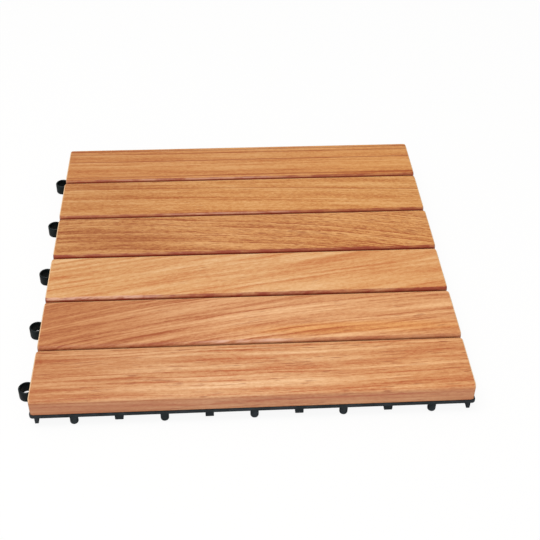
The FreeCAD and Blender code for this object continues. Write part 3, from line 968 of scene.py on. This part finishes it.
# the rims and the fins reach a little way into the plate, so that they melt with it
IN_PLATE = PLATE_BOTTOM + 1
rim_back = block(
    "rim_back", (-HALF, HALF - RIM_WIDTH, RIM_BOTTOM), (HALF - RIM_STOP, HALF, IN_PLATE), 0.3, RIM_ROUND,
)
rim_left = block(
    "rim_left", (-HALF, RIM_STOP - HALF, RIM_BOTTOM), (RIM_WIDTH - HALF, HALF - RIM_ROUND, IN_PLATE), 0.3,
)
FIN_INSET, FIN_WIDTH, FIN_LENGTH, FIN_BOTTOM = 4.6, 2.5, 6, PLATE_BOTTOM - 4.8
fins = four_corners(
    "corner_fins", (HALF - FIN_INSET - FIN_WIDTH / 2, HALF - FIN_LENGTH, FIN_BOTTOM),
    (HALF - FIN_INSET + FIN_WIDTH / 2, HALF, IN_PLATE), 0.25,
)
print(f"window {2 * OPENING:.1f} mm wide, rims {RIM_WIDTH} mm thick, fins {FIN_WIDTH} mm thick")

# %% [markdown]
# The mould is filled in one go, so the base is one body, and no seam shows where a rib meets a foot.
# Shapes that only stood in one another would hide walls inside, and no bore could be cut through them.
# A Mesh Boolean joins them for real. Its Manifold solver is quick, and it asks for closed solids. The
# bores come last, so that nothing closes them again.

# %% Melt the shapes into one moulding
def moulding_tree():
    """A frame cut from a plate, joined with all other shapes, then relieved of the bores."""
    tree, given = new_tree("one_moulding", {
        "Plate": "Object", "Window": "Object", "Shapes": "Collection", "Bores": "Collection",
        "Finish": "Material",
    })

    def solid(kind, name):
        return put(tree, f"GeometryNode{kind}Info", {kind: given[name]}, transform_space="RELATIVE")

    whole_plate = solid("Object", "Plate").outputs["Geometry"]
    frame_ring = work_solids(tree, "DIFFERENCE", solid("Object", "Window").outputs["Geometry"], whole_plate)
    shapes, cuts = solid("Collection", "Shapes"), solid("Collection", "Bores")
    for several in (shapes, cuts):
        several.inputs["Separate Children"].default_value = True
    melted = work_solids(tree, "UNION", [frame_ring, shapes.outputs[0]])
    bored = work_solids(tree, "DIFFERENCE", cuts.outputs[0], melted)
    return end_tree(tree, bored, given["Finish"])


# %% [markdown]
# ## The black plastic
#
# The base is a matt black plastic with a slight blue-green cast. It is never quite even: the mould leaves a
# fine grain on it, and handling leaves soft lighter scuffs. Along the front edge it is greyer than the
# rest, most of all where the scuffs are lighter.

# %% The finish of the moulding
def moulded_plastic():
    """Matt black plastic with a fine grain, soft scuffs, and a greyer front."""
    material, tree = new_finish("moulded_black_plastic")
    place = put(tree, "ShaderNodeTexCoord").outputs["Object"]
    scuffs = round_noise(tree, place, 90.0, 4.0, 0.6)
    grain = round_noise(tree, place, 2200.0, 2.0)
    tone = graded(tree, scuffs, 0.4, 0.72)
    black = blend_in(tree, tone, colour(20, 27, 29), colour(30, 40, 42))
    # the strip along the front edge, where the pegs and tabs stand, is greyer
    front = graded(tree, parts_of(tree, place)["Y"], (8 - HALF) * MM, (3 - HALF) * MM)
    rubbed = times(tree, front, graded(tree, tone, 0, 1, 0.4, 1.0))
    black = blend_in(tree, rubbed, black, colour(48, 54, 60))
    rough = graded(tree, scuffs, 0.35, 0.75, 0.26, 0.4)
    end_finish(tree, black, rough, grain, 0.25, 0.08, {"Specular IOR Level": 0.17})
    return material


black_plastic = moulded_plastic()
print("the finish of the plastic has", len(black_plastic.node_tree.nodes), "nodes")

# %% [markdown]
# The tree takes in the shapes and the bores as two collections. They and their patterns are only needed
# until the moulding is made. Then they are dropped, because whatever stays in the scene is rendered.

# %% Make the moulding
def gathered(name, pieces):
    """A collection of pieces that one tree takes in together."""
    group = bpy.data.collections.new(name)
    for piece in pieces:
        group.objects.link(piece)
    return group


shapes = gathered("moulding_shapes", [
    pads, rim_back, rim_left, fins, deep_ribs, plate_ribs, tubes, studs,
    side_rows["loops"], side_rows["necks"], side_rows["buttresses"], side_rows["pegs"], side_rows["tabs"],
])
cuts = gathered("moulding_bores", [bores, side_rows["loop_bores"]])
moulded_base = grow("moulded_base", moulding_tree(), {
    "Plate": plate, "Window": window, "Shapes": shapes, "Bores": cuts, "Finish": black_plastic,
})
drop(plate, window, tube, tube_bore, stud, loop, loop_bore, peg, neck, buttress, tab)
drop(*shapes.objects, *cuts.objects)

# %% [markdown]
# ## The screws
#
# Twelve pan-head screws hold the slats. Their heads sit deep in the hollow feet, so mostly a pale ring and
# a cross show from below. The head and the shank are turned, and the thread is a row of rings: a true
# spiral would cost many faces, and it is hidden in the wood.

# %% Turn a screw
HEAD, SHANK, CORE, HEAD_TOP = 3.1, 1.75, 1.45, WOOD_BOTTOM - TUBE_FLOOR
thread = [(CORE if step % 2 else SHANK, HEAD_TOP + 0.8 + 0.45 * step) for step in range(17)]
screw_blank = turned("screw_blank", [
    (HEAD - 0.75, 7.0), (HEAD - 0.25, 7.15), (HEAD, 7.6), (HEAD, 8.85), (HEAD - 0.15, HEAD_TOP),
    (SHANK, HEAD_TOP), (SHANK, HEAD_TOP + 0.4), *thread, (0.4, HEAD_TOP + 11),
], 20)
CROSS_LENGTH, CROSS_WIDTH = 3.5, 0.6
cross_bar = block(
    "cross_bar", (-CROSS_LENGTH / 2, -CROSS_WIDTH / 2, 6.4), (CROSS_LENGTH / 2, CROSS_WIDTH / 2, 8.1), 0.12,
)
print(f"screw heads {2 * HEAD:.1f} mm across, shanks {2 * SHANK:.1f} mm")

# %% [markdown]
# The screws are zinc-plated steel. A metal's colour lies in its reflection, so Metallic is 1, and the base
# colour tints what it mirrors. One noise dulls it in clouds, and a finer one roughens the surface.

# %% The finish of the screws
def zinc_plated_steel():
    """Zinc-plated steel with a fine grain, dulled in places."""
    material, tree = new_finish("screw_steel")
    place = put(tree, "ShaderNodeTexCoord").outputs["Object"]
    cloud = round_noise(tree, place, 700.0, 3.0)
    fine = round_noise(tree, place, 4000.0, 1.0)
    steel = blend_in(tree, graded(tree, cloud, 0.35, 0.7), colour(205, 202, 192), colour(160, 152, 136))
    rough = graded(tree, cloud, 0.3, 0.7, 0.3, 0.48)
    end_finish(tree, steel, rough, fine, 0.3, 0.03, {"Metallic": 1.0})
    return material


screw_steel = zinc_plated_steel()
print("the finish of the screws has", len(screw_steel.node_tree.nodes), "nodes")

# %% [markdown]
# The cross is cut out by a bar and the same bar turned by a quarter. The screws then stand in two rows
# along the ends of the slats, under the crossings of the ribs. A row has seven crossings and there are six
# slats, so the middle crossing gets none. Each screw is turned by a chance angle, as a driver leaves it.

# %% Cut the cross and set the screws
def screw_tree():
    """Screws in two rows under the ends of the slats, none in the middle of a row."""
    tree, given = new_tree("screw_rows", {
        "Blank": "Object", "Cross bar": "Object", "Row": "Float", "Pitch": "Float", "Seed": "Int",
        "Finish": "Material",
    })
    bar = mesh_of(tree, given["Cross bar"])
    cross = [bar, quarter_turn(tree, bar)]
    screw = work_solids(tree, "DIFFERENCE", cross, mesh_of(tree, given["Blank"]))
    places = put(tree, "GeometryNodeMeshGrid", {
        "Size X": times(tree, given["Row"], 2.0), "Size Y": times(tree, given["Pitch"], NODES - 1.0),
        "Vertices X": 2, "Vertices Y": NODES,
    })
    across = parts_of(tree, put(tree, "GeometryNodeInputPosition").outputs[0])["Y"]
    off_middle = reckon(tree, "GREATER_THAN", unsigned(tree, across), times(tree, given["Pitch"], 0.5))
    turn = put(
        tree, "FunctionNodeRandomValue", {2: 0.0, 3: math.pi / 2, "Seed": given["Seed"]}, data_type="FLOAT",
    )
    turned_round = vector(tree, z=turn.outputs[1])
    screws = set_on(tree, places.outputs["Mesh"], screw, Selection=off_middle, Rotation=turned_round)
    return end_tree(tree, screws, given["Finish"])


slat_screws = grow("pan_head_screws", screw_tree(), {
    "Blank": screw_blank, "Cross bar": cross_bar, "Row": OUTER_NODE * MM, "Pitch": NODE_PITCH * MM,
    "Seed": 2, "Finish": screw_steel,
})
drop(screw_blank, cross_bar)

# %% [markdown]
# ## Soft and sharp edges
#
# A round foot is made of flat faces. Shading them smoothly hides that, but a real corner has to stay
# sharp. So each piece is smoothed, and the edges that turn by more than 32 degrees are kept sharp. Faces
# that look straight along an axis stay flat: beside a small rounding, a smooth one would seem to bulge.

# %% Smooth the pieces
SHARP_TURN, ALONG_AXIS, SAME_PLACE = math.radians(32), 0.9995, 0.002 * MM
for piece in (hardwood_slats, moulded_base, slat_screws):
    check = bmesh.new()
    check.from_mesh(piece.data)
    bmesh.ops.remove_doubles(check, verts=check.verts, dist=SAME_PLACE)
    open_edges = sum(not edge.is_manifold for edge in check.edges)
    triangles = sum(len(face.verts) - 2 for face in check.faces)
    for face in check.faces:
        face.smooth = max(abs(part) for part in face.normal) < ALONG_AXIS
    check.to_mesh(piece.data)
    check.free()
    piece.data.set_sharp_from_angle(angle=SHARP_TURN)
    print(f"{piece.name}: {triangles} triangles, {open_edges} open edges")

# %% [markdown]
# ## Take the place of the frame's parts
#
# Each finished piece now stands for its part of the frame, and moves with it.

# %% Hand the pieces over
for piece, names, slot in (
    (hardwood_slats, [f"slat_{count}" for count in range(1, SLATS + 1)], "hardwood"),
    (moulded_base, ["base_grid"], "moulding"),
    (slat_screws, ["slat_screws"], "screw_steel"),
):
    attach(piece, "root")
    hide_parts(*names)
    print(piece.name, "stands for", ", ".join(names))

# %% [markdown]
# ## Floor and light
#
# The tile lies on plain white. A floor that is only lit would come out grey, and more light on it would
# bleach the wood. So the floor glows plain white, but to the camera alone. Under the tile it is an ordinary
# floor, which takes a faint shadow, so the tile doesn't float. To a glossy reflection the floor is darker,
# because black plastic that mirrors white looks grey.

# %% Floor
def white_floor():
    """A floor that is mostly plain white to the camera, and in its own shade under the tile."""
    material, tree = new_finish("white_floor")
    ray = put(tree, "ShaderNodeLightPath").outputs
    mirrored = blend_in(tree, ray["Is Glossy Ray"], (0.9, 0.9, 0.9, 1), (0.4, 0.4, 0.4, 1))
    diffuse = put(tree, "ShaderNodeBsdfDiffuse", {"Color": mirrored})
    white = put(tree, "ShaderNodeEmission", {"Color": (1, 1, 1, 1), "Strength": 1.0})
    place = parts_of(tree, put(tree, "ShaderNodeTexCoord").outputs["Object"])
    far = reckon(tree, "MAXIMUM", unsigned(tree, place["X"]), unsigned(tree, place["Y"]))
    open_floor = graded(tree, far, (HALF - 22) * MM, (HALF - 12) * MM, 0.0, 0.92)
    mix = put(tree, "ShaderNodeMixShader", {
        0: times(tree, ray["Is Camera Ray"], open_floor), 1: diffuse.outputs[0], 2: white.outputs[0],
    })
    put(tree, "ShaderNodeOutputMaterial", {"Surface": mix.outputs[0]})
    return material


FLOOR_REACH, FLOOR_DROP = 6.0, 0.02 * MM
mesh = bmesh.new()
bmesh.ops.create_grid(mesh, x_segments=1, y_segments=1, size=FLOOR_REACH)
floor = plain_piece("floor", mesh)
floor.data.transform(Matrix.Translation((0, 0, -FLOOR_DROP)))
floor.data.materials.append(white_floor())
print(floor.name, "has", len(floor.data.polygons), "face")

# %% [markdown]
# The light is that of a studio. The sky is plain white to the camera too, but lights the tile at half that
# strength. Most of the light comes from a large soft lamp above, a little in front and to the left, which
# also draws the thin highlights along the rounded edges. A weak lamp fills in from the front.

# %% Light
world = bpy.data.worlds.new("studio")
bpy.context.scene.world = world
world.use_nodes = True
sky = world.node_tree
sky.nodes.clear()
seen = put(sky, "ShaderNodeLightPath").outputs["Is Camera Ray"]
level = plus(sky, 0.5, times(sky, seen, 0.5))
background = put(sky, "ShaderNodeBackground", {"Color": (1, 1, 1, 1), "Strength": level})
put(sky, "ShaderNodeOutputWorld", {"Surface": background.outputs[0]})


def lamp(name, place, size, power, tone=(1.0, 1.0, 1.0)):
    """A square soft lamp that shines at the middle of the tile."""
    light = bpy.data.objects.new(name, bpy.data.lights.new(name, "AREA"))
    light.data.shape, light.data.size = "SQUARE", size
    light.data.energy, light.data.color = power, tone
    light.location = place
    light.rotation_euler = (-light.location).to_track_quat("-Z", "Y").to_euler()
    bpy.context.scene.collection.objects.link(light)
    print(f"{name}: {power} W from {light.location.length:.2f} m away")


lamp("soft_box_above", (-0.35, -0.25, 1.5), 0.9, 16.2, (1.0, 0.965, 0.89))
lamp("front_fill", (0.5, -1.5, 0.6), 0.7, 3.0)
bpy.context.scene.view_settings.view_transform = "Standard"
